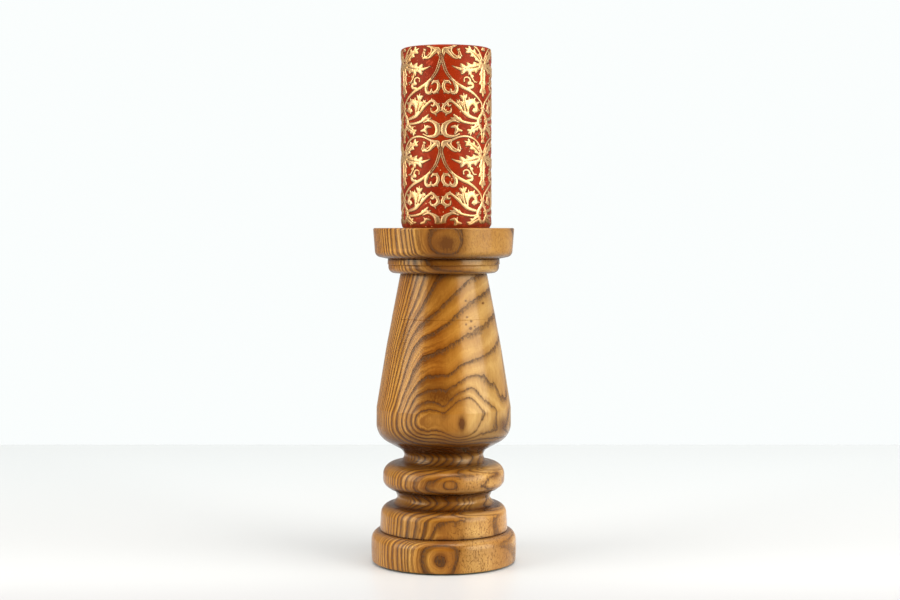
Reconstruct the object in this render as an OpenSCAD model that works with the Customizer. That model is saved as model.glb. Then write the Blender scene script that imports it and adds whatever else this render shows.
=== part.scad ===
/* [Foot and plinth] */
// Radius of the foot at its widest
foot_r = 62.4; // [58:0.1:68]
// Height of the foot
foot_h = 26.9; // [24:0.1:30]
// Radius of the foot's rounded shoulder
foot_round = 8.4; // [6:0.1:9]
// Radius of the plinth where it leaves the foot
plinth_r = 54.7; // [52:0.1:56]
// Height of the plinth
plinth_h = 22.2; // [20:0.1:24]
// Radius of the plinth's rounded shoulder
plinth_round = 8.6; // [6:0.1:10]

/* [Knop] */
// Narrowest radius of the lower cove
cove_r = 39.2; // [37:0.1:41]
// Radius of the bead between the coves
bead_r = 52.2; // [50:0.1:54]
// Narrowest radius of the neck above the bead
neck_r = 33.0; // [31:0.1:34.5]

/* [Body] */
// Radius of the body at its shoulder
body_r = 57.6; // [55:0.1:60]
// Radius of the body at its top
body_top_r = 36.9; // [35:0.1:38]
// Height at which the body's two blocks are glued
body_joint_z = 208.5; // [200:0.5:220]

/* [Head] */
// Radius of the collar's upper band
collar_r = 47.9; // [46.5:0.1:50]
// Radius of the cup at its lower edge
cup_low_r = 58.4; // [56:0.1:59]
// Radius of the cup at its rim
cup_r = 60.2; // [59.5:0.1:62]
// Height of the wood from the underside of the foot to the rim
wood_h = 285; // [282:0.5:288]

/* [Dowels] */
// Radius of the dowels that join the turned sections
dowel_r = 11; // [8:0.5:14]
// Glue clearance round each dowel
dowel_gap = 0.1; // [0.05:0.01:0.3]

/* [Candle pan] */
// Outer radius of the pan
pan_r = 46; // [43:0.5:50]
// Thickness of the pan's sheet
pan_t = 0.8; // [0.6:0.1:1]
// Depth of the recess that holds the pan
recess_d = 2; // [1.6:0.1:2.6]
// Radius of the pricket where it leaves the pan
pricket_r = 2.2; // [1.8:0.1:2.5]
// Height of the pricket above the pan
pricket_h = 32; // [24:1:34]
// Radius of the circle on which the pan's screws stand
screw_circle_r = 24; // [18:1:34]

/* [Felt] */
// Radius of the felt pad under the foot
felt_r = 58; // [50:0.5:60]
// Thickness of the felt pad
felt_t = 1.2; // [0.8:0.1:2]

/* [Candle] */
// Radius of the candle
candle_r = 38.1; // [36:0.1:39]
// Height of the candle
candle_h = 153; // [120:1:200]
// Distance of the candle's axis from the pricket
candle_off = 2.2; // [0:0.1:4]
// Depth of the dish in the candle's top
dish_d = 3; // [1:0.5:5]
// Radius of the wick
wick_r = 1.1; // [0.8:0.1:1.5]
// Height of the wick's end above the candle's edge
wick_up = 3.4; // [1:0.1:4]

/* [Hidden] */
$fn = 128;

// Heights of the joints between the turned sections, above the underside of the foot.
plinth_z = foot_h;
knop_z = foot_h + plinth_h;
neck_z = 97.2;
body_top_z = 246.7;
collar_top_z = 258.8;
recess_z = wood_h - recess_d;
seat_z = recess_z + pan_t;
// Small relief that eases the two edges at each glue line.
ease = 0.25;
// The body's flank is a long bow between the shoulder and the top.
flank_r = 49;
flank_z = 184;
body_joint_r = flank_r + (body_top_r - flank_r) * (body_joint_z - flank_z) / (body_top_z - flank_z);
step_deg = 6;

// One rounded corner of a profile: b is [radius, height, rounding], between its neighbours a and c.
function unit(v) = v / norm(v);
function flat2(p) = [p[0], p[1]];
function corner(a, b, c) =
    let (u = unit(flat2(a) - flat2(b)), v = unit(flat2(c) - flat2(b)),
         half = acos(u * v) / 2,
         ctr = flat2(b) + unit(u + v) * b[2] / sin(half),
         p0 = flat2(b) + u * b[2] / tan(half), p1 = flat2(b) + v * b[2] / tan(half),
         a0 = atan2(p0[1] - ctr[1], p0[0] - ctr[0]),
         a1 = atan2(p1[1] - ctr[1], p1[0] - ctr[0]),
         turn = a1 - a0 > 180 ? a1 - a0 - 360 : a1 - a0 < -180 ? a1 - a0 + 360 : a1 - a0,
         n = max(3, ceil(abs(turn) / step_deg)))
    [for (i = [0:n]) ctr + b[2] * [cos(a0 + turn * i / n), sin(a0 + turn * i / n)]];
function rounded(p) =
    [for (i = [0:len(p) - 1])
        each (p[i][2] > 0 && i > 0 && i < len(p) - 1) ? corner(p[i - 1], p[i], p[i + 1]) : [flat2(p[i])]];

// A turned piece from its profile, standing on the felt.
module turning(profile) { translate([0, 0, felt_t]) rotate_extrude() polygon(rounded(profile)); }
// A blind or through hole on the axis, from height z0 to z1.
module hole(z0, z1, r) { translate([0, 0, felt_t + z0]) cylinder(h = z1 - z0, r = r); }
// A dowel with chamfered ends, from height z0 to z1.
module dowel(z0, z1) {
    turning([[0, z0, 0], [dowel_r - 1.2, z0, 0], [dowel_r, z0 + 1.2, 0], [dowel_r, z1 - 1.2, 0], [dowel_r - 1.2, z1, 0], [0, z1, 0]]);
}
dowel_hole_r = dowel_r + dowel_gap;

module foot() {
    color([0.66, 0.43, 0.20]) difference() {
        turning([[0, 0, 0], [foot_r - 0.7, 0, 1.3], [foot_r, 10, 120], [foot_r - 0.5, foot_h - 0.95, foot_round],
                 [plinth_r - 0.1, foot_h - 0.1, 0], [plinth_r - 0.5, foot_h, 0], [0, foot_h, 0]]);
        hole(6, foot_h + 1, dowel_hole_r);
    }
}

module plinth() {
    color([0.65, 0.43, 0.18]) difference() {
        turning([[0, plinth_z, 0], [plinth_r - 0.5, plinth_z, 0], [plinth_r, plinth_z + 0.4, 0],
                 [plinth_r - 1.1, knop_z - 0.8, plinth_round], [45.2, knop_z, 0], [0, knop_z, 0]]);
        hole(plinth_z - 1, knop_z + 1, dowel_hole_r);
    }
}

module knop() {
    color([0.64, 0.42, 0.17]) difference() {
        turning([[0, knop_z, 0], [45.2, knop_z, 0], [43.6, 49.7, 2.6], [cove_r, 54.5, 3.6],
                 [cove_r + 3.7, 62.7, 5], [bead_r, 62.2, 7.9], [bead_r - 0.2, 83, 10.4],
                 [36.2, 85.5, 4], [neck_r, 91.4, 5.2], [36.9, 96.4, 0], [38.3, neck_z, 0], [0, neck_z, 0]]);
        hole(knop_z - 1, 66, dowel_hole_r);
        hole(72, neck_z + 1, dowel_hole_r);
    }
}

module body_lower() {
    color([0.74, 0.55, 0.34]) difference() {
        turning([[0, neck_z, 0], [38.3, neck_z, 0], [body_r + 0.1, 107.9, 16.8], [body_r - 0.1, 132, 6],
                 [flank_r, flank_z, 300], [body_joint_r, body_joint_z - ease, 0],
                 [body_joint_r - ease, body_joint_z, 0], [0, body_joint_z, 0]]);
        hole(neck_z - 1, 124, dowel_hole_r);
        hole(186, body_joint_z + 1, dowel_hole_r);
    }
}

module body_upper() {
    color([0.76, 0.58, 0.37]) difference() {
        turning([[0, body_joint_z, 0], [body_joint_r - ease, body_joint_z, 0],
                 [body_joint_r, body_joint_z + ease, 0], [body_top_r, body_top_z, 0], [0, body_top_z, 0]]);
        hole(body_joint_z - 1, 228, dowel_hole_r);
        hole(234, body_top_z + 1, dowel_hole_r);
    }
}

module collar() {
    color([0.70, 0.50, 0.29]) difference() {
        turning([[0, body_top_z, 0], [collar_r - 0.9, body_top_z, 5.2], [collar_r - 0.6, 253.3, 0],
                 [collar_r - 1, 253.7, 0], [collar_r, 254.2, 0.3], [collar_r - 0.2, collar_top_z - 0.3, 0],
                 [collar_r - 0.6, collar_top_z, 0], [0, collar_top_z, 0]]);
        hole(body_top_z - 1, collar_top_z + 1, dowel_hole_r);
    }
}

module cup() {
    color([0.68, 0.48, 0.27]) difference() {
        turning([[0, collar_top_z, 0], [collar_r - 0.6, collar_top_z, 0], [cup_low_r, 261.1, 5.3],
                 [cup_r, wood_h, 1.3], [pan_r + 0.2, wood_h, 0], [pan_r + 0.2, recess_z, 0], [0, recess_z, 0]]);
        hole(collar_top_z - 1, 269, dowel_hole_r);
        hole(recess_z - 1.3, recess_z + 1, 5.1);
        hole(271.5, recess_z, 2.05);
        for (a = [90, 210, 330]) rotate(a) translate([screw_circle_r, 0, 0]) hole(recess_z - 8.3, recess_z + 1, 1.05);
    }
}

module foot_dowel() { color([0.80, 0.66, 0.46]) dowel(7, 65); }
module neck_dowel() { color([0.80, 0.66, 0.46]) dowel(73, 123); }
module body_dowel() { color([0.80, 0.66, 0.46]) dowel(187, 227); }
module head_dowel() { color([0.80, 0.66, 0.46]) dowel(235, 268); }

module felt_pad() { color([0.13, 0.22, 0.15]) cylinder(h = felt_t, r = felt_r); }

// Dished sheet-metal pan with an upturned edge, a centre hole and countersunk screw holes.
module candle_pan() {
    color([0.80, 0.62, 0.30]) difference() {
        turning([[0, recess_z, 0], [pan_r, recess_z, 1.5], [pan_r, wood_h - 0.3, 0],
                 [pan_r - pan_t, wood_h - 0.3, 0], [pan_r - pan_t, seat_z, 0.7], [0, seat_z, 0]]);
        hole(recess_z - 1, seat_z + 1, pricket_r + 0.05);
        for (a = [90, 210, 330]) rotate(a) translate([screw_circle_r, 0, felt_t + recess_z]) {
            translate([0, 0, -1]) cylinder(h = 3, r = 1.1);
            translate([0, 0, 0.02]) cylinder(h = 1, r1 = 1.1, r2 = 2.35);
        }
    }
}

// Spike with a shoulder under the pan and a shank in the cup.
module pricket() {
    color([0.62, 0.62, 0.64])
        turning([[0, 272, 0], [1.2, 272, 0], [2, 273.2, 0], [2, recess_z - 1.2, 0], [5, recess_z - 1.2, 0],
                 [5, recess_z, 0], [pricket_r, recess_z, 0], [pricket_r, seat_z + 4, 0],
                 [0.5, seat_z + pricket_h - 0.6, 0], [0, seat_z + pricket_h, 0]]);
}

// Three countersunk wood screws, their heads just below the pan's face.
module pan_screws() {
    color([0.78, 0.60, 0.28])
        for (a = [90, 210, 330]) rotate(a) translate([screw_circle_r, 0, felt_t + recess_z])
            difference() {
                union() {
                    translate([0, 0, -7.2]) cylinder(h = 7.3, r = 1.0);
                    translate([0, 0, -8]) cylinder(h = 0.8, r1 = 0.3, r2 = 1.0);
                    translate([0, 0, 0.1]) cylinder(h = 0.6, r1 = 1.0, r2 = 1.75);
                }
                translate([-3, -0.25, 0.4]) cube([6, 0.5, 1]);
            }
}

// Pillar candle with eased edges, a shallow melt dish and the hole that the pricket makes.
module candle_wax() {
    color([0.62, 0.12, 0.09]) difference() {
        translate([candle_off, 0, 0])
            turning([[0, seat_z, 0], [candle_r, seat_z, 4.5], [candle_r, seat_z + candle_h, 2.2],
                     [candle_r - 7, seat_z + candle_h, 6], [candle_r - 16, seat_z + candle_h - dish_d, 12],
                     [0, seat_z + candle_h - dish_d, 0]]);
        hole(seat_z - 1, seat_z + pricket_h + 4, pricket_r + 0.6);
        translate([candle_off, 0, 0]) hole(seat_z + pricket_h + 8, seat_z + candle_h + 1, wick_r + 0.05);
    }
}

module wick() {
    color([0.85, 0.80, 0.70]) translate([candle_off, 0, 0])
        turning([[0, seat_z + pricket_h + 9, 0], [wick_r, seat_z + pricket_h + 9, 0],
                 [wick_r, seat_z + candle_h + wick_up - 0.5, 0], [wick_r - 0.5, seat_z + candle_h + wick_up, 0],
                 [0, seat_z + candle_h + wick_up, 0]]);
}

foot();
plinth();
knop();
body_lower();
body_upper();
collar();
cup();
foot_dowel();
neck_dowel();
body_dowel();
head_dowel();
felt_pad();
candle_pan();
pricket();
pan_screws();
candle_wax();
wick();
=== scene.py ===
import bpy, bmesh, math, random
from mathutils import Vector, Matrix, noise as mnoise


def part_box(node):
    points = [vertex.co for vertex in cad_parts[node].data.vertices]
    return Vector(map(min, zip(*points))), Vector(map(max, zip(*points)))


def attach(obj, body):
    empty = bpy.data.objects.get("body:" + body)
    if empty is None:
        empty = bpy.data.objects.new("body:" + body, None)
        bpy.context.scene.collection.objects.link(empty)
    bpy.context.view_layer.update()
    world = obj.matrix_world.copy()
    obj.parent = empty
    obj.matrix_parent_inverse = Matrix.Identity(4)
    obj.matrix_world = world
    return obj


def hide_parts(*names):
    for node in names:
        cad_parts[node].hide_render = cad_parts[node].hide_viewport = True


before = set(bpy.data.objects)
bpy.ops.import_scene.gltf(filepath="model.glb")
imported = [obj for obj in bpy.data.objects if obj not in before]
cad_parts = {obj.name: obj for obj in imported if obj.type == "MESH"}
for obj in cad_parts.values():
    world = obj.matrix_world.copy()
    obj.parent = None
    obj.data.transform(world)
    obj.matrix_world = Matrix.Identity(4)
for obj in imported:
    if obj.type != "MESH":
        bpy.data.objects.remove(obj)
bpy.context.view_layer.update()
scene = bpy.context.scene
scene.view_settings.view_transform = "Standard"
scene.view_settings.look = "None"

# ------------------------------------------------------------------ camera
cam = bpy.data.objects.new("camera", bpy.data.cameras.new("camera"))
scene.collection.objects.link(cam)
cam.data.lens, cam.data.sensor_width = 64.0, 36.0
cam.data.clip_start, cam.data.clip_end = 0.05, 50
cam.location = (0.0054, -1.367, 0.2879)
cam.rotation_euler = (math.radians(90 - 2.648), 0, 0)
scene.camera = cam


# ------------------------------------------------------------------ node helper
class Tree:
    """A material's node tree, with arithmetic on its sockets."""

    def __init__(self, name):
        self.mat = bpy.data.materials.new(name)
        self.mat.use_nodes = True
        self.nt = self.mat.node_tree
        self.nt.nodes.clear()
        self.out = self.nt.nodes.new("ShaderNodeOutputMaterial")
        self.bsdf = self.nt.nodes.new("ShaderNodeBsdfPrincipled")
        self.nt.links.new(self.bsdf.outputs[0], self.out.inputs[0])

    def put(self, sock, v):
        if isinstance(v, S):
            self.nt.links.new(v.s, sock)
        elif v is not None:
            sock.default_value = v

    def math(self, op, *a, clamp=False):
        n = self.nt.nodes.new("ShaderNodeMath")
        n.operation, n.use_clamp = op, clamp
        for i, v in enumerate(a):
            self.put(n.inputs[i], v)
        return S(self, n.outputs[0])

    def coords(self):
        n = self.nt.nodes.new("ShaderNodeTexCoord")
        return S(self, n.outputs["Object"])

    def xyz(self, v):
        n = self.nt.nodes.new("ShaderNodeSeparateXYZ")
        self.put(n.inputs[0], v)
        return [S(self, n.outputs[i]) for i in range(3)]

    def vec(self, x, y, z):
        n = self.nt.nodes.new("ShaderNodeCombineXYZ")
        for i, v in enumerate((x, y, z)):
            self.put(n.inputs[i], v)
        return S(self, n.outputs[0])

    def noise(self, v, scale=1.0, detail=2.0, rough=0.5, dist=0.0, colour=False):
        n = self.nt.nodes.new("ShaderNodeTexNoise")
        self.put(n.inputs["Vector"], v)
        n.inputs["Scale"].default_value = scale
        n.inputs["Detail"].default_value = detail
        n.inputs["Roughness"].default_value = rough
        n.inputs["Distortion"].default_value = dist
        return S(self, n.outputs[1 if colour else 0])

    def voronoi(self, v, scale=1.0, feature="F1", rand=1.0):
        n = self.nt.nodes.new("ShaderNodeTexVoronoi")
        n.feature = feature
        self.put(n.inputs["Vector"], v)
        n.inputs["Scale"].default_value = scale
        n.inputs["Randomness"].default_value = rand
        return n

    def step(self, v, a, b, lo=0.0, hi=1.0, smooth=True):
        n = self.nt.nodes.new("ShaderNodeMapRange")
        n.interpolation_type = "SMOOTHSTEP" if smooth else "LINEAR"
        self.put(n.inputs["Value"], v)
        for k, w in zip(("From Min", "From Max", "To Min", "To Max"), (a, b, lo, hi)):
            n.inputs[k].default_value = w
        return S(self, n.outputs[0])

    def curve(self, v, pts, span=100.0):
        """A piecewise straight curve through (x, y) pairs; x from 0 to span, y from 0 to span."""
        n = self.nt.nodes.new("ShaderNodeFloatCurve")
        c = n.mapping.curves[0]
        p = [(x / span, y / span) for x, y in pts]
        c.points[0].location, c.points[1].location = p[0], p[-1]
        for q in p[1:-1]:
            c.points.new(*q)
        for q in c.points:
            q.handle_type = "VECTOR"
        n.mapping.update()
        self.put(n.inputs["Value"], v * (1 / span))
        return S(self, n.outputs[0]) * span

    def ramp(self, v, stops, interp="LINEAR"):
        n = self.nt.nodes.new("ShaderNodeValToRGB")
        r = n.color_ramp
        r.interpolation = interp
        while len(r.elements) > 1:
            r.elements.remove(r.elements[-1])
        r.elements[0].position, r.elements[0].color = stops[0][0], (*stops[0][1], 1)
        for p, c in stops[1:]:
            r.elements.new(p).color = (*c, 1)
        self.put(n.inputs[0], v)
        return S(self, n.outputs[0])

    def mix(self, f, a, b, blend="MIX"):
        n = self.nt.nodes.new("ShaderNodeMix")
        n.data_type, n.blend_type = "RGBA", blend
        self.put(n.inputs[0], f)
        for i, v in ((6, a), (7, b)):
            if isinstance(v, S):
                self.put(n.inputs[i], v)
            else:
                n.inputs[i].default_value = (*v, 1)
        return S(self, n.outputs[2])

    def bump(self, h, dist, strength=1.0):
        n = self.nt.nodes.new("ShaderNodeBump")
        n.inputs["Strength"].default_value = strength
        n.inputs["Distance"].default_value = dist
        self.put(n.inputs["Height"], h)
        return S(self, n.outputs[0])


class S:
    """One output socket."""

    def __init__(self, t, s):
        self.t, self.s = t, s

    def __add__(self, o): return self.t.math("ADD", self, o)
    __radd__ = __add__
    def __mul__(self, o): return self.t.math("MULTIPLY", self, o)
    __rmul__ = __mul__
    def __sub__(self, o): return self.t.math("SUBTRACT", self, o)
    def __rsub__(self, o): return self.t.math("SUBTRACT", o, self)
    def __truediv__(self, o): return self.t.math("DIVIDE", self, o)
    def __pow__(self, o): return self.t.math("POWER", self, o)
    def fma(self, m, a): return self.t.math("MULTIPLY_ADD", self, m, a)
    def max(self, o): return self.t.math("MAXIMUM", self, o)
    def min(self, o): return self.t.math("MINIMUM", self, o)
    def exp(self): return self.t.math("EXPONENT", self)
    def sqrt(self): return self.t.math("SQRT", self)
    def fract(self): return self.t.math("FRACT", self)
    def floor(self): return self.t.math("FLOOR", self)
    def clamp(self): return self.t.math("ADD", self, 0.0, clamp=True)


# ------------------------------------------------------------------ turned wood
# The growth rings are the level surfaces of one scalar field in millimetres, measured from
# the pith: flat boards of rings to the left of it, round rings to its right, and smooth swells
# of the trunk on top, each (height, x, z, width in x, width in z). Every turned section reads
# the same field, so the figure runs on from one section to the next.
PITH_X, PITH_Y = -0.3, -2.8
SWELL_FRONT = [
    (4.7, 14.4, 117.6, 14.5, 23.1), (5.6, -26.6, 122.4, 36.6, 14.2), (-1.3, 2.1, 136.8, 7.0, 10.6),
    (-4.2, -9.1, 211.5, 22.0, 37.1), (-1.9, 3.4, 165.9, 15.2, 19.1), (-7.5, 6.0, 108.8, 45.8, 29.2),
    (-1.7, 36.4, 150.4, 8.3, 19.0), (-5.0, 53.2, 140.4, 12.3, 32.4), (-1.4, 29.2, 184.9, 12.3, 18.4),
    (1.7, -26.3, 142.8, 12.1, 9.7),
    (5.6, 2.0, 272.0, 17.0, 12.0), (3.4, -2.5, 11.0, 15.0, 12.0), (2.2, 5.0, 74.0, 7.0, 6.0),
]
# Where the rings bend back to the right of an eye: drop, from x, to x, z, width in z.
SHELVES = [(-3.4, -2.0, 17.0, 8.0, 17.0), (-2.2, 4.0, 24.0, 273.0, 13.0)]
SWELL_BACK = [
    (6.0, -10.0, 150.0, 22.0, 26.0), (-5.0, 20.0, 205.0, 24.0, 30.0), (4.0, 16.0, 112.0, 14.0, 14.0),
    (5.0, 0.0, 16.0, 18.0, 16.0), (3.0, -8.0, 73.0, 14.0, 8.0), (5.0, 8.0, 270.0, 20.0, 14.0), (2.8, 50.0, 142.0, 14.0, 21.0),
]
# Where the growth rings end, in millimetres of the field, with each ring's number.
RINGS = [(0, 0), (6, 2), (9, 3), (12, 4), (14.5, 5), (17.5, 6), (20, 7), (23, 8), (25.5, 9), (28.5, 10),
         (31.5, 11), (34.6, 12), (37.7, 13), (41.9, 14), (45.7, 15), (48.2, 16), (50.1, 17), (51.5, 18),
         (51.9, 18.36), (52.9, 18.60), (57.4, 19), (61.2, 20), (64.5, 21), (70, 23), (80, 27)]
# Small dark knots and mineral marks on the front, and wide dark patches down the middle of the front that are painted
# shade: strength, x, z, width in x and z.
DARK_SPOTS_AND_SHADE = [(1.7, 15.2, 124.0, 2.6, 5.4), (0.8, 50.0, 121.0, 4.2, 6.5), (0.7, 44.5, 77.0, 3.6, 4.6),
         (0.85, -2.7, 12.5, 4.0, 5.0), (0.7, 3.0, 272.5, 5.0, 5.0), (0.45, 0.5, 131.0, 4.0, 4.0),
         # the wide patches on this line and the next two, down the middle of the front, are painted shade
         (0.70, 2.0, 271.0, 18.0, 13.0), (0.35, -8.0, 74.0, 13.0, 7.0), (0.95, -3.0, 147.0, 17.0, 11.0),
         (0.22, -4.0, 38.0, 16.0, 12.0),
         (0.30, -4.0, 250.0, 16.0, 6.0), (0.22, -6.0, 228.0, 12.0, 16.0),
         (1.9, 22.6, 201.6, 1.2, 1.1), (1.3, 19.5, 211.0, 0.9, 0.8), (1.5, 23.0, 207.5, 1.0, 0.9),
         (1.3, 18.5, 224.5, 1.0, 0.9), (1.3, 33.0, 222.0, 1.0, 0.8), (1.2, 18.8, 205.0, 0.8, 0.9), (1.2, 26.0, 203.0, 0.8, 0.7)]

# How much toner has stayed in the recesses, plus painted shade in the coves and under the edges, 0 to 300, by height
# in millimetres.
RECESS_SHADE_AND_STAIN = [(0, 40), (2, 0), (24, 0), (26, 120), (26.9, 270), (28.2, 60), (31, 0), (44, 0), (47, 90), (49.3, 285),
        (51.5, 150), (54, 50), (57, 110), (60, 255), (63.5, 270), (66.5, 90), (70, 0), (80, 0), (83.5, 90), (86, 240),
        (88.5, 180), (91, 110), (94, 200), (96.5, 290), (102, 290), (106, 245), (111, 165), (118, 75), (128, 0), (241, 0),
        (244.5, 90), (246.6, 220), (248.5, 80), (251.5, 0), (253.2, 60), (253.7, 180), (254.4, 30), (257, 60),
        (258.8, 285), (261, 200), (263.5, 50), (267, 0), (300, 0)]


def wood(name, seed=0.0, glow=1.0):
    t = Tree(name)
    p = t.coords()
    x, y, z = [c * 1000.0 for c in t.xyz(p)]
    z = z - 1.2
    # slow irregular growth, long along the grain
    w1 = t.noise(t.vec(x, y, z * 0.30), 0.045, 2.0, 0.5) - 0.5
    w2 = t.noise(t.vec(x + 50.0, y, z * 0.22), 0.22, 2.0, 0.5) - 0.5
    w3 = t.noise(t.vec(x, y + 31.0, z * 0.25), 0.9, 2.0, 0.6) - 0.5
    dx = (x - PITH_X).max(0.0)
    dy = y - PITH_Y
    f = (dx * dx + dy * dy).sqrt()
    f = f - t.step(x, -26.0, 0.0)
    front = t.step(y, -14.0, 4.0, 1.0, 0.0)
    back = 1.0 - front

    def gauss(h, gx, gz, sx, sz):
        u = x.fma(1 / sx, -gx / sx)
        v = z.fma(1 / sz, -gz / sz)
        return (u * u + v * v) * -1.0, h

    gf = None
    for row in SWELL_FRONT:
        q, h = gauss(*row)
        q = q.exp()
        gf = q * h if gf is None else q.fma(h, gf)
    for k, zc, sz in ((0.40, 91.5, 9.5), (0.40, 55.0, 8.0)):
        v = z.fma(1 / sz, -zc / sz)
        v = v * v
        gf = gf + (v * v * -1.0).exp() * ((x + 12.0).max(0.0) * k)
    for h, x0, x1, zc, sz in SHELVES:
        v = z.fma(1 / sz, -zc / sz)
        gf = gf + (v * v * -1.0).exp() * t.step(x, x0, x1, 0.0, h)
    gb = None
    for row in SWELL_BACK:
        q, h = gauss(*row)
        q = q.exp()
        gb = q * h if gb is None else q.fma(h, gb)
    f = f + gf * front + gb * back
    f = f + w1 * 1.6 + w2 * 0.8 + w3 * 0.30
    ring = t.curve(f, RINGS)
    ph = ring.fract()
    near = ph.min(1.0 - ph)

    # pores: long thin vessels, dense just outside each ring line
    side = t.step(x, -24.0, 8.0)
    pore_c = t.noise(t.vec(x, y, z * 0.33), 1.15, 1.0, 0.5)
    pore_f = t.noise(t.vec(x, y, z * 0.16), 2.6, 1.0, 0.5)
    fibre = t.noise(t.vec(x, y, z * 0.05), 1.1, 3.0, 0.6)
    streak = t.noise(t.vec(f * 1.0, z * 0.012, x * 0.02), 1.5, 4.0, 0.75)
    thin = side * -0.050 + 0.085
    early = t.step(ph - thin * 2.6 - side * 0.12, -0.10, 0.06, 1.0, 0.0)
    line = t.step((near + (pore_c - 0.5) * 0.05) / thin, 0.25, 1.05, 1.0, 0.0)
    # some rings are stronger than others, most of all at the sides and the back
    plain = 1.0 - front * t.step(x, -40.0, -22.0, 0.25, 0.75)
    k = t.noise(t.vec((ring + 0.5).floor() * 3.7, z * 0.006, 0.0), 1.0, 1.0, 0.5)
    line = line * (1.0 - t.step(k, 0.36, 0.60, 0.85, 0.0) * plain)
    third = ring * 3.0 + w3 * 0.8
    k = t.noise(t.vec((third + 0.5).floor() * 2.3, z * 0.010, 7.0), 1.0, 1.0, 0.5)
    uneven = 1.0 - t.step(k, 0.40, 0.62, 1.0, 0.0) * plain
    third = third.fract()
    third = third.min(1.0 - third)
    fine = t.step(third + (pore_c - 0.5) * 0.25, 0.04, 0.20, 1.0, 0.0) * t.step(x, -20.0, -6.0, 1.0, 0.0) * uneven
    dashes = t.step(pore_f, 0.55, 0.62)
    pores = (dashes * (early * 0.7 + 0.05) + t.step(pore_c, 0.50, 0.57) * early * 0.9).clamp() * (front * 0.6 + 0.4)

    cloud = t.noise(t.vec(x, y, z * 0.4), 0.03, 2.0, 0.55)
    body = t.ramp(ph, [(0.0, (0.22, 0.076, 0.009)), (0.14, (0.26, 0.094, 0.011)), (0.34, (0.42, 0.182, 0.026)),
                       (0.60, (0.60, 0.295, 0.048)), (0.84, (0.46, 0.200, 0.028)), (1.0, (0.24, 0.084, 0.010))])
    body = t.mix(side * 0.35, body, (0.50, 0.230, 0.034))
    wide = t.mix(t.step(streak, 0.34, 0.66), t.mix(1.0, body, (0.55, 0.43, 0.32), "MULTIPLY"),
                 t.mix(1.0, body, (1.28, 1.36, 1.55), "MULTIPLY"))
    body = t.mix(side * -0.75 + 0.95, body, wide)
    rich = t.mix(t.step(cloud, 0.40, 0.70) * 0.8, body, t.mix(1.0, body, (0.72, 0.58, 0.42), "MULTIPLY"))
    col = t.mix(t.step(fibre, 0.35, 0.75) * 0.40, rich, t.mix(1.0, rich, (0.72, 0.62, 0.50), "MULTIPLY"))
    # the right side painted lighter and yellower, a painted light where the key lamp falls; painted shade a little
    # left of the middle of the front
    painted_right_light = t.step(x + w1 * 30.0, 4.0, 34.0) * t.step(z, 252.0, 262.0, 1.0, 0.35)
    col = t.mix(painted_right_light, col, t.mix(1.0, col, (1.12, 1.34, 2.35), "MULTIPLY"))
    # painted shade: a darker band a little left of the middle of the front
    hx = (x + 4.0) * (1 / 17.0)
    hz = t.step(z, 130.0, 168.0, 0.12, 1.0) + t.step(z, 90.0, 106.0, 0.70, 0.0)
    col = t.mix((hx * hx * -1.0).exp() * (cloud * 1.4 + 0.25) * front * hz, col, t.mix(1.0, col, (0.70, 0.56, 0.42), "MULTIPLY"))
    # knots and marks, plus painted shade down the middle of the front
    m = None
    for row in DARK_SPOTS_AND_SHADE:
        q, h = gauss(*row)
        q = q.exp()
        m = q * h if m is None else q.fma(h, m)
    m = (m * front * (pore_c + 0.55)).clamp()
    col = t.mix(m, col, (0.13, 0.040, 0.005))
    # short curly pores low down on the right
    scribble = t.noise(t.vec(x, y, z * 0.55), 0.26, 1.0, 0.5, 1.6)
    scribble = t.step((scribble - 0.5) * (scribble - 0.5), 0.0, 0.0034, 1.0, 0.0)
    low = t.step(z, 40.0, 46.0, 1.0, 0.0) + t.step(z, 66.0, 68.0) * t.step(z, 80.0, 82.0, 1.0, 0.0) + t.step(z, 244.0, 250.0) * 0.55
    scribble = scribble * low * t.step(x + w2 * 30.0, 2.0, 10.0) * t.step(pore_c, 0.42, 0.50)
    col = t.mix(scribble * 0.80 * front, col, (0.16, 0.055, 0.008))
    col = t.mix(fine * 0.55, col, (0.13, 0.042, 0.005))
    ends = t.step(z, 34.0, 50.0, 1.0, 0.0) + t.step(z, 240.0, 258.0, 0.0, 0.4)
    faint = t.math("MULTIPLY_ADD", t.step(x, -46.0, -24.0, -0.75, 0.0), ends.clamp(), 1.0)
    faint = faint * t.math("MULTIPLY_ADD", t.step(x, 38.0, 47.0, 0.0, -0.85), t.step(z, 90.0, 98.0, 1.0, 0.0), 1.0)
    band = t.step(ph / (thin * (ends * 1.6 + 1.0)), 1.8, 3.1, 1.0, 0.0)
    col = t.mix(band * (ends * 0.12 + 0.50) * faint, col, (0.13, 0.043, 0.005))
    rim = t.step(((ph / thin) - 2.6) * ((ph / thin) - 2.6), 0.0, 0.16, 0.55, 0.0)
    col = t.mix((line.max(rim) * (pore_c * 5.0 - 1.65)).clamp() * faint * (side * 0.12 + 0.78), col, (0.066, 0.018, 0.002))
    col = t.mix(pores * 0.78, col, (0.055, 0.018, 0.004))
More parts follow.
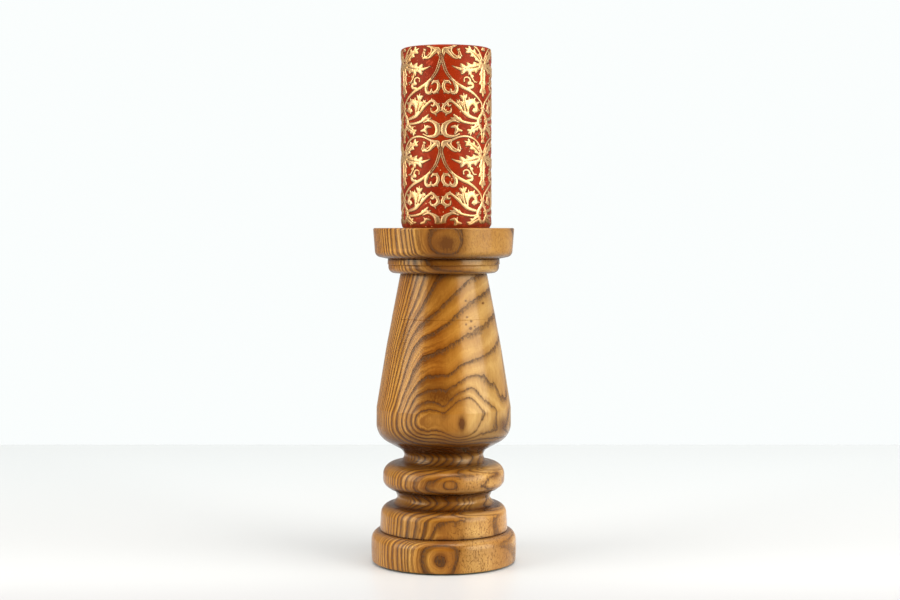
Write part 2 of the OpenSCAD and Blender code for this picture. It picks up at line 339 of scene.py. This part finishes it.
    # toner that has stayed in the coves and under the edges, with painted shade darkening the same coves and
    # undersides
    recess_shade_and_stain = t.curve(z, RECESS_SHADE_AND_STAIN, 300.0)
    col = t.mix(recess_shade_and_stain * 0.0033, col, t.mix(1.0, col, (0.12, 0.036, 0.010), "MULTIPLY"))
    cooler = t.step(x, 12.0, 40.0) * t.step(z, 98.0, 118.0) * t.step(z, 262.0, 266.0, 1.0, 0.6)
    col = t.mix(1.0, col, t.mix(cooler, (0.80, 0.81, 0.81), (0.70, 0.73, 0.78)), "MULTIPLY")
    # painted light: the left edge and upper left flank made lighter where the fill lamp falls, and the lower right
    # made lighter where the key lamp falls
    painted_side_light = t.step(x, -44.0, -14.0, 1.05, 0.0) * t.step(z, 190.0, 225.0) * t.step(z, 267.0, 269.0, 1.0, 0.0)
    painted_side_light = painted_side_light.max(t.step(x, -58.0, -26.0, 0.60, 0.0)) + t.step(x, 18.0, 50.0, 0.0, 0.5) * t.step(z, 90.0, 98.0, 1.0, 0.0)
    col = t.mix(painted_side_light, col, t.mix(1.0, col, (1.30, 1.34, 1.60), "MULTIPLY"))
    t.put(t.bsdf.inputs["Base Color"], col)
    rough = (pores * 0.24 + fibre * 0.10 + t.noise(p, 60.0, 3.0, 0.6) * 0.10 + 0.12)
    t.put(t.bsdf.inputs["Roughness"], rough)
    t.bsdf.inputs["Specular IOR Level"].default_value = 0.27
    t.bsdf.inputs["Specular Tint"].default_value = (1.0, 0.86, 0.55, 1.0)
    t.bsdf.inputs["Coat Weight"].default_value = 0.12
    t.bsdf.inputs["Coat Roughness"].default_value = 0.19
    t.bsdf.inputs["IOR"].default_value = 1.5
    h = fibre * 0.25 - pores * 0.6 - line * 0.5 - fine * 0.2 + t.noise(p, 25.0, 2.0, 0.5) * 0.5
    t.put(t.bsdf.inputs["Normal"], t.bump(h, 0.00015, 0.7))
    return t.mat


WOOD = wood("turned_wood")
for n in ("foot", "plinth", "knop", "body_lower", "body_upper", "collar", "cup"):
    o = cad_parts[n]
    o.data.materials.clear()
    o.data.materials.append(WOOD)
    for pl in o.data.polygons:
        pl.material_index = 0


def give(mat, *names):
    for name in names:
        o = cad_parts[name]
        o.data.materials.clear()
        o.data.materials.append(mat)
        for pl in o.data.polygons:
            pl.material_index = 0


def millimetres(t):
    p = t.coords()
    return [p] + [c * 1000.0 for c in t.xyz(p)]


# red wax: slightly cloudy, with lighter pink patches of painted sheen and stray flecks of gilding
t = Tree("red_wax")
p, x, y, z = millimetres(t)
cloud = t.noise(p, 55.0, 3.0, 0.55)
grain = t.noise(p, 1400.0, 3.0, 0.6)
patch_noise = t.noise(p, 240.0, 2.0, 0.6, 0.6)
col = t.mix(t.step(cloud, 0.35, 0.68), (0.255, 0.019, 0.002), (0.190, 0.011, 0.0015))
# painted sheen: lighter pink patches standing in for reflections on the wax
col = t.mix(t.step(patch_noise, 0.56, 0.72) * 0.45, col, (0.52, 0.075, 0.030))
fleck = t.voronoi(p, 420.0)
fd, fc = S(t, fleck.outputs["Distance"]), t.xyz(S(t, fleck.outputs["Color"]))
flecks = t.step(fd, 0.16, 0.24, 1.0, 0.0) * t.step(fc[0], 0.80, 0.84) * t.step(patch_noise, 0.42, 0.55)
col = t.mix(flecks * 0.85, col, (0.80, 0.56, 0.24))
base_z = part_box("candle_wax")[0][2] * 1000.0
# darker towards the bottom of the candle
bottom_dark = t.step(z + (patch_noise - 0.5) * 22.0, base_z, base_z + 13.0, 1.0, 0.0)
col = t.mix(bottom_dark * 0.75, col, (0.11, 0.012, 0.003))
t.put(t.bsdf.inputs["Base Color"], col)
t.put(t.bsdf.inputs["Roughness"], grain * 0.14 + cloud * 0.12 + 0.27)
t.bsdf.inputs["Specular IOR Level"].default_value = 0.11
t.bsdf.inputs["Specular Tint"].default_value = (1.0, 0.82, 0.62, 1.0)
t.put(t.bsdf.inputs["Normal"], t.bump(cloud * 0.8 + patch_noise * 0.35 + grain * 0.12, 0.00045, 0.6))
give(t.mat, "candle_wax")

# beech of the dowels: short dark ray flecks along the grain
t = Tree("beech")
p, x, y, z = millimetres(t)
rays = t.noise(t.vec(x, y, z * 0.28), 2.4, 1.0, 0.5)
rings = t.noise(t.vec(x * 1.2, y * 0.25, z * 0.03), 0.9, 3.0, 0.6)
col = t.mix(rings, (0.66, 0.44, 0.25), (0.52, 0.32, 0.165))
col = t.mix(t.step(rays, 0.58, 0.66) * 0.5, col, (0.30, 0.155, 0.070))
t.put(t.bsdf.inputs["Base Color"], col)
t.put(t.bsdf.inputs["Roughness"], rings * 0.2 + 0.48)
t.put(t.bsdf.inputs["Normal"], t.bump(rings + rays * 0.5, 0.0001, 0.5))
give(t.mat, "foot_dowel", "neck_dowel", "body_dowel", "head_dowel")

# dark green wool felt, pressed, with loose fibres
t = Tree("felt")
p, x, y, z = millimetres(t)
mat1 = t.noise(p, 1100.0, 4.0, 0.7, 1.6)
mat2 = t.noise(p, 90.0, 2.0, 0.5)
fibre = t.noise(t.vec(x, y * 0.15, z), 4.0, 2.0, 0.6, 2.5)
col = t.mix(mat1, (0.016, 0.050, 0.026), (0.050, 0.115, 0.062))
col = t.mix(mat2 * 0.5, col, (0.018, 0.044, 0.026))
col = t.mix(t.step(fibre, 0.60, 0.70) * 0.4, col, (0.13, 0.21, 0.14))
t.put(t.bsdf.inputs["Base Color"], col)
t.put(t.bsdf.inputs["Roughness"], mat1 * 0.1 + 0.86)
t.bsdf.inputs["Sheen Weight"].default_value = 0.25
t.bsdf.inputs["Specular IOR Level"].default_value = 0.15
t.put(t.bsdf.inputs["Normal"], t.bump(mat1 + fibre * 0.6, 0.0005, 0.9))
give(t.mat, "felt_pad")


def turned_metal(name, light, dark, rough, cx, cy, pitch):
    """Lathe-turned metal: fine rings round the axis, faint tarnish, small dark spots."""
    t = Tree(name)
    p, x, y, z = millimetres(t)
    u, v = x - cx, y - cy
    r = (u * u + v * v).sqrt()
    tool = t.noise(t.vec(r * pitch, z * pitch, 0.0), 1.0, 3.0, 0.7)
    tarnish = t.noise(p, 75.0, 4.0, 0.6, 0.5)
    spots = t.noise(p, 900.0, 2.0, 0.5)
    col = t.mix(t.step(tarnish, 0.42, 0.72), light, dark)
    col = t.mix(tool * 0.35, col, [c * 0.70 for c in light])
    col = t.mix(t.step(spots, 0.66, 0.74) * 0.5, col, [c * 0.45 for c in dark])
    t.put(t.bsdf.inputs["Base Color"], col)
    t.bsdf.inputs["Metallic"].default_value = 1.0
    t.put(t.bsdf.inputs["Roughness"], tool * 0.16 + t.step(tarnish, 0.4, 0.8) * 0.14 + rough)
    t.put(t.bsdf.inputs["Normal"], t.bump(tool + spots * 0.3, 0.00004, 0.7))
    return t.mat


def middle(name):
    lo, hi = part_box(name)
    return (lo[0] + hi[0]) * 500.0, (lo[1] + hi[1]) * 500.0


give(turned_metal("turned_brass", (0.83, 0.60, 0.27), (0.56, 0.37, 0.14), 0.20, *middle("candle_pan"), 5.0), "candle_pan")
give(turned_metal("screw_brass", (0.80, 0.58, 0.28), (0.52, 0.35, 0.14), 0.26, *middle("candle_pan"), 9.0), "pan_screws")
give(turned_metal("bright_steel", (0.68, 0.67, 0.66), (0.42, 0.41, 0.40), 0.18, *middle("pricket"), 7.0), "pricket")

# braided cotton wick: three plaits twisted round each other, in place of the plain CAD rod
(wx0, wy0, wz0), (wx1, wy1, wz1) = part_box("wick")
wcx, wcy, wr = (wx0 + wx1) / 2, (wy0 + wy1) / 2, (wx1 - wx0) / 2
bm = bmesh.new()
STRANDS, AROUND = 6, 10
steps = max(24, int((wz1 - wz0) / 0.00035))
steps = min(steps, 460)
for k in range(STRANDS):
    hand = 1 if k % 2 else -1
    ph0 = 2 * math.pi * k / STRANDS
    last = None
    for i in range(steps + 1):
        u = i / steps
        zc = wz0 + (wz1 - wz0) * u
        a = ph0 + hand * (zc - wz0) / 0.0052 * 2 * math.pi
        wob = 1.0 + 0.16 * math.cos(3 * (a - ph0))
        tip = 1.0 - 0.35 * max(0.0, (u - 0.985) / 0.015)
        pr, tr = wr * 0.50 * wob * tip, wr * 0.40 * tip
        c = Vector((wcx + pr * math.cos(a), wcy + pr * math.sin(a), zc))
        ring = []
        for m in range(AROUND):
            b = 2 * math.pi * m / AROUND
            zz_ = min(max(zc + tr * math.sin(b) * 0.35, wz0), wz1)
            ring.append(bm.verts.new((c.x + tr * math.cos(b + a), c.y + tr * math.sin(b + a), zz_)))
        if last:
            for m in range(AROUND):
                bm.faces.new((last[m], last[(m + 1) % AROUND], ring[(m + 1) % AROUND], ring[m]))
        else:
            bm.faces.new(ring[::-1])
        last = ring
    bm.faces.new(last)
bmesh.ops.recalc_face_normals(bm, faces=bm.faces)
me = bpy.data.meshes.new("wick_braid")
bm.to_mesh(me)
bm.free()
for pl in me.polygons:
    pl.use_smooth = True
wick = bpy.data.objects.new("wick_braid", me)
scene.collection.objects.link(wick)
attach(wick, "candle")
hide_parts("wick")
t = Tree("wick_cotton")
p, x, y, z = millimetres(t)
thread = t.noise(t.vec(x, y, z * 0.35), 6.0, 3.0, 0.7, 1.0)
soak = t.noise(p, 500.0, 2.0, 0.5)
col = t.mix(thread, (0.78, 0.72, 0.60), (0.58, 0.51, 0.38))
col = t.mix(t.step(soak, 0.45, 0.7) * 0.4, col, (0.60, 0.40, 0.30))
t.put(t.bsdf.inputs["Base Color"], col)
t.put(t.bsdf.inputs["Roughness"], thread * 0.2 + 0.62)
t.put(t.bsdf.inputs["Normal"], t.bump(thread, 0.0001, 0.8))
me.materials.append(t.mat)
give(t.mat, "wick")

# ------------------------------------------------------------------ gilt relief of the candle
# A damask repeat: half of it lies between two mirror lines 60 degrees apart, and it repeats down
# the candle every 76.7 mm. Strokes are ((across, down) points in millimetres, radii along them,
# start and end of a groove); leaves are (base, tip, bend, width, lobes a side).
STROKES = [
    (((1.5, -8), (0.5, -4.5), (2, 1), (4, 6.5), (7.5, 11.5), (12.5, 16), (18.5, 19.5), (25.5, 22.5), (32, 26.5),
      (37.5, 31.5), (39.5, 37)), (0.8, 1.3, 1.3, 1.2, 1.1, 1.2, 1.5, 1.3, 1.1, 1, 0.9), 0.02, 0.42),
    (((1.5, -7.5), (2.5, -11), (6, -9), (9.5, -5.5), (13, -4.5), (16, -6.5)), (1, 1.7, 1.5, 0.9, 0.8, 1.1), 0, 0),
    (((11.5, -15), (9, -13.5), (8, -10.5), (9.5, -8), (12.5, -6)), (0.4, 0.7, 0.9, 0.8, 0.6), 0, 0),
    (((16, 4.5), (12.5, 3.5), (9, 2)), (1.4, 0.8, 0.3), 0, 0),
    (((39.5, -4.5), (36.5, -2), (40.5, 1)), (0.9, 1.3, 1.6), 0, 0),
    (((19.5, 14.5), (19.5, 12), (22.5, 11), (25, 13), (24.5, 16)), (0.8, 0.6, 0.7, 1.1, 1.6), 0, 0),
    (((23.5, 16), (27.5, 16.5), (27.5, 19), (23, 20)), (1.6, 1.5, 1.3, 1.2), 0, 0),
    (((28, 10), (25.5, 9), (26.5, 7.5)), (1.1, 0.8, 0.4), 0, 0),
    (((32.5, 14.5), (29.5, 14.5), (27.5, 12), (26, 10)), (0.5, 0.8, 0.9, 1), 0, 0),
    (((11, 16), (13, 20), (12, 23.5), (9, 24), (8, 21)), (1.2, 1.6, 1.7, 1.2, 0.6), 0, 0),
    (((8, 17), (6, 15), (3, 15.5), (2, 18.5), (3, 22), (6, 24), (8, 22.5)),
      (0.5, 1, 1.3, 1.4, 1.3, 1.1, 0.5), 0, 0),
    (((3, 15.5), (2.5, 13.5)), (0.9, 0.4), 0, 0),
    (((2, 19), (0.5, 20)), (1, 0.4), 0, 0),
    (((3.5, 22.5), (2.5, 24.5)), (0.9, 0.4), 0, 0),
    (((5.5, 15), (7, 13.5)), (0.8, 0.3), 0, 0),
    (((23, 42.5), (22.5, 37.5), (24, 33), (27.5, 31), (31, 33.5), (32, 38), (28, 38.5)),
      (1.6, 2, 2.6, 2.6, 2.2, 1.7, 1), 0, 0),
    (((28, 31.5), (30.5, 27.5)), (2, 0.4), 0, 0),
    (((30.5, 33), (35.5, 31)), (2, 0.4), 0, 0),
    (((32, 37), (36, 38)), (2, 0.4), 0, 0),
    (((24.5, 32.5), (24, 27.5)), (2, 0.4), 0, 0),
    (((29.5, 38), (30, 40.5)), (2, 0.4), 0, 0),
    (((37.5, 45.5), (29.5, 44.5), (23, 42.5), (18.5, 39), (14, 35), (11, 32.5)), (1, 1.3, 1.7, 1.5, 1.2, 1), 0, 0),
    (((11, 32.5), (7.5, 30.5), (5, 32.5), (6.5, 35), (8.5, 34)), (1, 1.1, 1.2, 0.9, 0.4), 0, 0),
    (((5, 32.5), (2.5, 35), (2, 38), (5, 40.5), (8, 39.5), (8.5, 36.5)), (1.2, 1.3, 1.5, 1.3, 0.9, 0.4), 0, 0),
    (((3, 34), (1, 33)), (1.1, 0.35), 0, 0),
    (((2, 38), (0, 39)), (1.1, 0.35), 0, 0),
    (((5, 40.5), (4, 43)), (1.1, 0.35), 0, 0),
    (((7.5, 31), (8, 28.5)), (1.1, 0.35), 0, 0),
    (((37.5, 47), (29.5, 49), (22, 48.5), (16.5, 47), (13, 44.5), (10.5, 42)), (0.6, 1, 1.1, 1.2, 1.6, 0.5), 0, 0),
    (((13, 45), (10, 45.5), (8, 44.5)), (1.4, 0.9, 0.3), 0, 0),
    (((16.5, 46.5), (15.5, 44)), (1.3, 0.4), 0, 0),
    (((37.5, 36), (40.5, 38), (37.5, 40)), (1, 1.4, 1), 0, 0),
    (((40.5, 39.5), (36.5, 42.5), (34, 47), (35.5, 51.5), (40.5, 56)), (1, 1.7, 1.9, 1.8, 1.6), 0, 0),
    (((15.5, 48.5), (10.5, 47), (6, 48.5), (3, 51.5), (2.5, 56), (5, 59.5), (10.5, 60), (15.5, 58)),
      (0.4, 0.9, 1.4, 2.3, 2.3, 1.5, 0.9, 0.6), 0, 0),
    (((8.5, 52.5), (12, 52), (13.5, 54.5), (12, 57.5)), (0.6, 1.3, 1.6, 0.9), 0, 0),
    (((13.5, 54.5), (17.5, 55.5)), (1.5, 0.9), 0, 0),
    (((12.5, 53), (14.5, 50.5)), (1.1, 0.5), 0, 0),
    (((3, 51.5), (1, 49.5)), (1.6, 0.4), 0, 0),
    (((2.5, 56.5), (0.5, 58.5)), (1.5, 0.4), 0, 0),
    (((1.5, 69.5), (2.5, 65.5), (5.5, 64.5), (9.5, 63), (15.5, 60.5), (22.5, 60), (29.5, 62), (35, 66.5),
      (38.5, 72.5)), (1.1, 1.9, 1.3, 0.9, 0.8, 0.9, 0.9, 0.9, 1), 0, 0),
]
LEAVES = [
    ((15.5, -4.5), (13.5, -13), 0.15, 4.2, 2),
    ((12.5, -5.5), (18.5, -6.5), 0, 2, 1),
    ((37.5, -1.5), (19.5, -13), 0.12, 9.6, 3),
    ((37.5, 0.5), (14, 4.5), -0.08, 12.5, 3),
    ((40.5, 0), (40.5, 27), 0, 11, 3),
    ((23, 42), (19, 24), -0.1, 9.6, 3),
    ((20, 40.5), (12.5, 29.5), 0.1, 5.6, 2),
    ((36.5, 50.5), (23, 58), 0.12, 8.4, 3),
    ((40.5, 54), (40, 65.5), 0, 6.6, 2),
    ((38, 55.5), (32, 61.5), 0.1, 3, 2),
]

import numpy as np

WAX_LO, WAX_HI = [[c * 1000.0 for c in v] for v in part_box("candle_wax")]
WAX_R = (WAX_HI[0] - WAX_LO[0]) / 2
WAX_X, WAX_Y = (WAX_HI[0] + WAX_LO[0]) / 2, (WAX_HI[1] + WAX_LO[1]) / 2
TURN = math.radians(-90.0 - 6.0)           # where a mirror line meets the front
HALF, DROP = WAX_R * math.pi / 3, 76.7
NU, NV = 88, 168
GU = np.linspace(0, HALF, NU + 1)
GV = np.linspace(-15.0, -15.0 + DROP, NV + 1)[:-1]
GX, GY = np.meshgrid(GU, GV)


def through(pts, n=6):
    """A smooth curve through the points."""
    m = len(pts)
    if m == 2:
        (a, b), (c, d) = pts
        return [(a + (c - a) * i / 3, b + (d - b) * i / 3) for i in range(4)]
    out = []
    for i in range(m - 1):
        p0, p1, p2, p3 = pts[max(i - 1, 0)], pts[i], pts[i + 1], pts[min(i + 2, m - 1)]
        for j in range(n):
            u = j / n
            out.append(tuple(0.5 * (2 * p1[k] + (p2[k] - p0[k]) * u
                             + (2 * p0[k] - 5 * p1[k] + 4 * p2[k] - p3[k]) * u * u
                             + (3 * p1[k] - p0[k] - 3 * p2[k] + p3[k]) * u ** 3) for k in (0, 1)))
    return out + [tuple(pts[-1])]


def sweep(field, pts, rr):
    """Raise field to the distance inside a stroke, with its mirrored and repeated copies."""
    for mirror in (0, 1, 2):
        q = np.array(pts, float)
        if mirror == 1:
            q[:, 0] *= -1
        if mirror == 2:
            q[:, 0] = 2 * HALF - q[:, 0]
        if q[:, 0].max() < -3 or q[:, 0].min() > HALF + 3:
            continue
        for k in (-1, 0, 1, 2):
            w = q - (0, k * DROP)
            for i in range(len(w) - 1):
                a, b, m = w[i], w[i + 1], max(rr[i], rr[i + 1]) + 1.5
                i0, i1 = np.searchsorted(GU, (min(a[0], b[0]) - m, max(a[0], b[0]) + m))
                j0, j1 = np.searchsorted(GV, (min(a[1], b[1]) - m, max(a[1], b[1]) + m))
                if i0 >= i1 or j0 >= j1:
                    continue
                x, y = GX[j0:j1, i0:i1], GY[j0:j1, i0:i1]
                d = b - a
                u = np.clip(((x - a[0]) * d[0] + (y - a[1]) * d[1]) / max(d @ d, 1e-9), 0, 1)
                v = rr[i] + (rr[i + 1] - rr[i]) * u - np.hypot(x - a[0] - u * d[0], y - a[1] - u * d[1])
                np.maximum(field[j0:j1, i0:i1], v, out=field[j0:j1, i0:i1])


inside, groove = np.full(GX.shape, -9.0), np.full(GX.shape, -9.0)
for pts, radii, g0, g1 in STROKES:
    c = through(pts)
    sweep(inside, c, np.interp(np.linspace(0, 1, len(c)), np.linspace(0, 1, len(radii)), radii))
    if g1:
        c = c[int(g0 * len(c)):int(g1 * len(c)) + 1]
        sweep(groove, c, [0.46] * len(c))
for base, tip, bend, w, lobes in LEAVES:
    b, e = np.array(base, float), np.array(tip, float)
    c = (b + e) / 2 + np.array((b[1] - e[1], e[0] - b[0])) * bend

    def at(u):
        return (1 - u) ** 2 * b + 2 * u * (1 - u) * c + u * u * e

    us = np.linspace(0, 1, 14)
    sweep(inside, [at(u) for u in us],
          [w * 0.25 * math.sin(math.pi * min(1, u * 0.90 + 0.08) ** 0.8) + 0.1 + 0.5 * (1 - u) ** 2 for u in us])
    for i in range(lobes):
        u = 0.20 + 0.52 * i / max(lobes - 1, 1)
        k, g = at(u), 2 * (1 - u) * (c - b) + 2 * u * (e - c)
        g = g / np.hypot(*g)
        for sg in (1, -1):
            a = math.radians(58 - 16 * u) * sg
            d = np.array((g[0] * math.cos(a) - g[1] * math.sin(a), g[0] * math.sin(a) + g[1] * math.cos(a)))
            ln = w * (0.66 - 0.22 * u) * (0.8 if i == 0 else 1.0)
            sweep(inside, [k, k + d * ln * 0.62 + g * 0.04 * w, k + d * ln], [w * 0.17, w * 0.135, 0.25])
            sweep(inside, [k, k + d * ln * 0.8 - g * 0.16 * w], [w * 0.13, 0.25])
            if w > 9:
                sweep(groove, [k + d * ln * 0.10, k + d * ln * 0.50], [0.12, -0.05])
    if w > 2.5:
        sweep(groove, [at(u) for u in us[2:11]], np.linspace(0.58, 0.22, 9))


def smooth01(a):
    a = np.clip(a, 0, 1)
    return a * a * (3 - 2 * a)


# the whole sleeve, cut off just short of the candle's two ends
rows = int((WAX_HI[2] - WAX_LO[2] - 2.2) / (DROP / NV))
TOP = WAX_HI[2] - 0.8
cols = np.array([abs((i + NU) % (2 * NU) - NU) for i in range(6 * NU)])
pick = np.array([j % NV for j in range(rows + 1)])
ins, grv = inside[pick][:, cols], groove[pick][:, cols]
zz = TOP - np.arange(rows + 1) * DROP / NV
hem = 4.3 + 1.3 * np.sin(np.arange(6 * NU) * math.pi / 44) * np.sin(np.arange(6 * NU) * math.pi / 24 + 1.0)
edge = np.minimum((TOP - zz)[:, None], zz[:, None] - WAX_LO[2] - hem[None, :]) - 0.05
# a thin low margin round each shape, wider below it, which the gilt material darkens as painted shadow with some
# toner
under = np.maximum(np.roll(ins, 1, 0), np.roll(np.roll(ins, 1, 0), 1, 1)) - 0.05
margin = np.minimum(np.maximum(ins + 0.28, under + 0.24), edge)
ins = np.minimum(ins, edge)
high = 0.03 + 0.34 * smooth01(ins / 0.55) + 0.30 * smooth01((ins - 0.25) / 1.7)
high = high - 0.62 * smooth01((grv + 0.20) / 0.45) * smooth01(ins / 0.5)
high = np.maximum(high, -0.02)
high = high - 0.19 * (1 - smooth01(margin / 0.12))
ins = margin

verts, faces, seen = [], [], {}
ncol = 6 * NU


def post(j, i, h):
    a = TURN + i * math.pi / 3 / NU - j * 0.00008
    r = WAX_R + h
    verts.append(((WAX_X + r * math.cos(a)) / 1000, (WAX_Y + r * math.sin(a)) / 1000,
                  (TOP - j * DROP / NV) / 1000))
    return len(verts) - 1


def corner(j, i):
    key = (j, i % ncol)
    if key not in seen:
        seen[key] = post(j, i % ncol, high[j, i % ncol])
    return seen[key]


def crossing(a, b):
    (j0, i0), (j1, i1) = sorted((a, b))
    key = (j0, i0 % ncol, j1, i1 % ncol)
    if key not in seen:
        p, q = ins[j0, i0 % ncol], ins[j1, i1 % ncol]
        u = p / (p - q)
        seen[key] = post(j0 + (j1 - j0) * u, i0 + (i1 - i0) * u, -0.16)
    return seen[key]


up = ins > 0
for j in range(rows):
    for i in range(ncol):
        ring = ((j, i), (j + 1, i), (j + 1, i + 1), (j, i + 1))
        on = [up[r, c % ncol] for r, c in ring]
        n_on = sum(on)
        if n_on == 4:
            faces.append([corner(*q) for q in ring])
        elif n_on:
            poly = []
            for k in range(4):
                if on[k]:
                    poly.append(corner(*ring[k]))
                if on[k] != on[(k + 1) % 4]:
                    poly.append(crossing(ring[k], ring[(k + 1) % 4]))
            if len(poly) > 2:
                faces.append(poly)
me = bpy.data.meshes.new("candle_gilt_relief")
me.from_pydata(verts, [], faces)
me.update()
for pl in me.polygons:
    pl.use_smooth = True
relief = bpy.data.objects.new("candle_gilt_relief", me)
scene.collection.objects.link(relief)
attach(relief, "candle")

t = Tree("gilt")
p = t.coords()
x, y, z = [c * 1000.0 for c in t.xyz(p)]
hx, hy = x - WAX_X, y - WAX_Y
h = (hx * hx + hy * hy).sqrt() - WAX_R
n1 = t.noise(p, 900.0, 3.0, 0.6)
n2 = t.noise(p, 120.0, 2.0, 0.5)
n3 = t.noise(p, 2600.0, 2.0, 0.6)
worn = t.step(n1 * 0.5 + n2 * 0.5, 0.56, 0.66)
gold = t.mix(n2, (0.73, 0.480, 0.265), (0.55, 0.315, 0.100))
gold = t.mix(worn * 0.45, gold, (0.46, 0.15, 0.045))
gold = t.mix(t.step(n3, 0.56, 0.66) * 0.40, gold, (0.26, 0.115, 0.030))
# painted shadow: the low margin round each shape, widest below it, and painted shade in the vein grooves are
# darkened, with some toner
low = t.step(h + (n1 - 0.5) * 0.10, 0.06, 0.27, 1.0, 0.0)
gold = t.mix(low * 0.96, gold, (0.060, 0.012, 0.0025))
foot_z = WAX_LO[2]
# darker towards the bottom of the candle
bottom_dark = t.step(z + (n2 - 0.5) * 22.0, foot_z + 2.0, foot_z + 13.0, 1.0, 0.0)
gold = t.mix(bottom_dark * 0.72, gold, (0.16, 0.060, 0.014))
t.put(t.bsdf.inputs["Base Color"], gold)
t.put(t.bsdf.inputs["Roughness"], n1 * 0.16 + 0.33 + low * 0.2)
t.put(t.bsdf.inputs["Metallic"], 0.88 - low * 0.86)
t.bsdf.inputs["Specular IOR Level"].default_value = 0.12
t.put(t.bsdf.inputs["Normal"], t.bump(n1 + n3 * 0.35, 0.00012, 0.7))
me.materials.append(t.mat)

# ------------------------------------------------------------------ stage
t = Tree("pale_table")
p = t.coords()
n = t.noise(p, 2.0, 3.0, 0.5)
col = t.mix(n, (0.618, 0.632, 0.636), (0.608, 0.622, 0.627))
depth = t.xyz(p)[1]
# painted shadow on the table in front of the candlestick, and painted light making the back lighter and cooler where
# it meets the backdrop
col = t.mix(t.step(depth, -0.18, -0.05, 1.0, 0.0), col, (0.525, 0.527, 0.535))
col = t.mix(t.step(depth, 0.05, 0.60), col, (0.628, 0.660, 0.672))
t.put(t.bsdf.inputs["Base Color"], col)
t.bsdf.inputs["Roughness"].default_value = 0.35
bm = bmesh.new()
for cx, cy in ((-3, -3), (3, -3), (3, 0.73), (-3, 0.73)):
    bm.verts.new((cx, cy, 0))
bm.faces.new(bm.verts)
me = bpy.data.meshes.new("table_top")
bm.to_mesh(me)
bm.free()
floor = bpy.data.objects.new("table_top", me)
scene.collection.objects.link(floor)
me.materials.append(t.mat)

world = bpy.data.worlds.new("studio")
scene.world = world
world.use_nodes = True
wn, wl = world.node_tree.nodes, world.node_tree.links
wn.clear()
w_out = wn.new("ShaderNodeOutputWorld")
w_mix = wn.new("ShaderNodeMixShader")
w_seen, w_lit = wn.new("ShaderNodeBackground"), wn.new("ShaderNodeBackground")
w_path, w_co, w_sep = wn.new("ShaderNodeLightPath"), wn.new("ShaderNodeTexCoord"), wn.new("ShaderNodeSeparateXYZ")
w_map = wn.new("ShaderNodeMapRange")
w_seen.inputs["Color"].default_value = (0.962, 0.990, 0.985, 1)
w_lit.inputs["Color"].default_value = (1.0, 0.99, 0.97, 1)
wl.new(w_co.outputs["Generated"], w_sep.inputs[0])
wl.new(w_sep.outputs[1], w_map.inputs["Value"])
for k, v in (("From Min", -0.75), ("From Max", 0.5), ("To Min", 0.03), ("To Max", 0.42)):
    w_map.inputs[k].default_value = v
w_side, w_mul = wn.new("ShaderNodeMapRange"), wn.new("ShaderNodeMath")
w_mul.operation = "MULTIPLY"
wl.new(w_sep.outputs[0], w_side.inputs["Value"])
for k, v in (("From Min", -0.9), ("From Max", 0.5), ("To Min", 0.80), ("To Max", 1.25)):
    w_side.inputs[k].default_value = v
wl.new(w_map.outputs[0], w_mul.inputs[0])
wl.new(w_side.outputs[0], w_mul.inputs[1])
w_up, w_add = wn.new("ShaderNodeMapRange"), wn.new("ShaderNodeMath")
w_up.interpolation_type = "SMOOTHSTEP"
wl.new(w_sep.outputs[2], w_up.inputs["Value"])
for k, v in (("From Min", 0.45), ("From Max", 0.95), ("To Min", 0.0), ("To Max", 1.5)):
    w_up.inputs[k].default_value = v
wl.new(w_mul.outputs[0], w_add.inputs[0])
wl.new(w_up.outputs[0], w_add.inputs[1])
wl.new(w_add.outputs[0], w_lit.inputs["Strength"])
wl.new(w_path.outputs["Is Camera Ray"], w_mix.inputs[0])
wl.new(w_lit.outputs[0], w_mix.inputs[1])
wl.new(w_seen.outputs[0], w_mix.inputs[2])
wl.new(w_mix.outputs[0], w_out.inputs[0])


def area(name, loc, target, w, h, power, colour=(1, 1, 1)):
    d = bpy.data.lights.new(name, "AREA")
    d.shape, d.size, d.size_y, d.energy, d.color = "RECTANGLE", w, h, power, colour
    o = bpy.data.objects.new(name, d)
    scene.collection.objects.link(o)
    o.location = loc
    o.visible_camera = False
    o.rotation_euler = (Vector(target) - Vector(loc)).to_track_quat("-Z", "Y").to_euler()
    return o


area("key_right", (2.70, -1.44, 1.00), (0, 0, 0.2), 2.6, 2.6, 140.0, (1.0, 0.975, 0.935))
area("fill_left", (-2.50, -1.15, 0.95), (0, 0, 0.2), 2.0, 2.6, 97.0, (1.0, 0.97, 0.92))
area("top", (0.25, -0.60, 1.80), (0, 0, 0.15), 0.9, 0.6, 10.0, (1.0, 0.97, 0.93))
